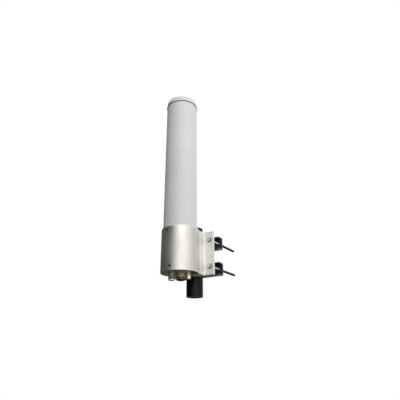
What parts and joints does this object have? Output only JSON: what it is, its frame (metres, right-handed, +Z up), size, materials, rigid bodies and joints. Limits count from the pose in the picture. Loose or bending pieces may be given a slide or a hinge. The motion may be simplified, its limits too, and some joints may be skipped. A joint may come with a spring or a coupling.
{
  "type": "omnidirectional antenna",
  "caption": "Upright round radome in a winged aluminium sleeve, gripped to a short mast stub by toothed jaws on long bolts, with coaxial ports in its base.",
  "frame": {"origin": "centre of the mast stub's lower end", "axes": "+Z up along the mast, +Y from the antenna towards the mast and on along the clamp bolts, +X to the right seen from the front"},
  "size_m": [0.124, 0.2191, 0.5128],
  "materials": {
    "mast_black": "semi-gloss black powder coat",
    "black_plastic": "moulded black plastic",
    "sleeve_aluminium": "brushed and clear anodised",
    "radome_grey": "pale grey glass-fibre tube, satin",
    "cap_grey": "pale grey moulded cap, satin",
    "seal_rubber": "black rubber",
    "plug_aluminium": "turned, chromate finish",
    "screw_black": "black oxide",
    "inner_aluminium": "plain mill finish",
    "inner_plastic": "natural nylon",
    "board": "glass-epoxy board with green mask",
    "copper": "bare copper",
    "foam": "white foam",
    "bolt_steel": "stainless steel, thread darker",
    "washer_steel": "stainless steel",
    "jaw_black": "black coated pressed steel",
    "nickel": "nickel plate",
    "silver": "bright silver plate",
    "brass": "dull brass",
    "ptfe": "white PTFE",
    "gold": "gold plate",
    "cable_copper": "copper outer conductor"
  },
  "bodies": {
    "mast": {"mast_stub": "mast_black", "mast_top_plug": "black_plastic", "mast_bottom_plug": "black_plastic"},
    "antenna": {"clamp_sleeve": "sleeve_aluminium", "set_screws": "screw_black", "radome_tube": "radome_grey", "cap_gasket": "seal_rubber", "radome_cap": "cap_grey", "base_plug": "plug_aluminium", "base_seal": "seal_rubber", "support_ring": "inner_aluminium", "ground_standoffs": "inner_aluminium", "ground_plane": "inner_aluminium", "spine_tube": "inner_aluminium", "top_spider": "inner_plastic", "low_band_board": "board", "high_band_board": "board", "board_clips": "inner_plastic", "low_band_dipoles": "copper", "high_band_dipoles": "copper", "foam_spacers": "foam", "clamp_bolts": "bolt_steel", "front_washers": "washer_steel", "n_port_body": "nickel", "n_port_insulator": "ptfe", "n_port_contact": "gold", "n_port_nut": "nickel", "n_port_feed_cable": "cable_copper", "hex_port_body": "brass", "hex_port_insulator": "ptfe", "hex_port_contact": "gold", "hex_port_nut": "nickel", "hex_port_feed_cable": "cable_copper", "small_port_body": "silver", "small_port_insulator": "ptfe", "small_port_contact": "gold", "small_port_nut": "nickel", "small_port_feed_cable": "cable_copper"},
    "upper_clamp": {"upper_jaw": "jaw_black", "upper_flat_washers": "washer_steel", "upper_spring_washers": "washer_steel", "upper_nuts": "bolt_steel"},
    "lower_clamp": {"lower_jaw": "jaw_black", "lower_flat_washers": "washer_steel", "lower_spring_washers": "washer_steel", "lower_nuts": "bolt_steel"}
  },
  "joints": [
    {"name": "mast_swivel", "type": "hinge", "parent": "mast", "child": "antenna", "pos_m": [0, 0, 0.0963], "axis": [0, 0, 1], "continuous": true},
    {"name": "upper_jaw_slide", "type": "slide", "parent": "antenna", "child": "upper_clamp", "axis": [0, 1, 0], "range_m": [0, 0.06]},
    {"name": "lower_jaw_slide", "type": "slide", "parent": "antenna", "child": "lower_clamp", "axis": [0, 1, 0], "range_m": [0, 0.06]}
  ]
}
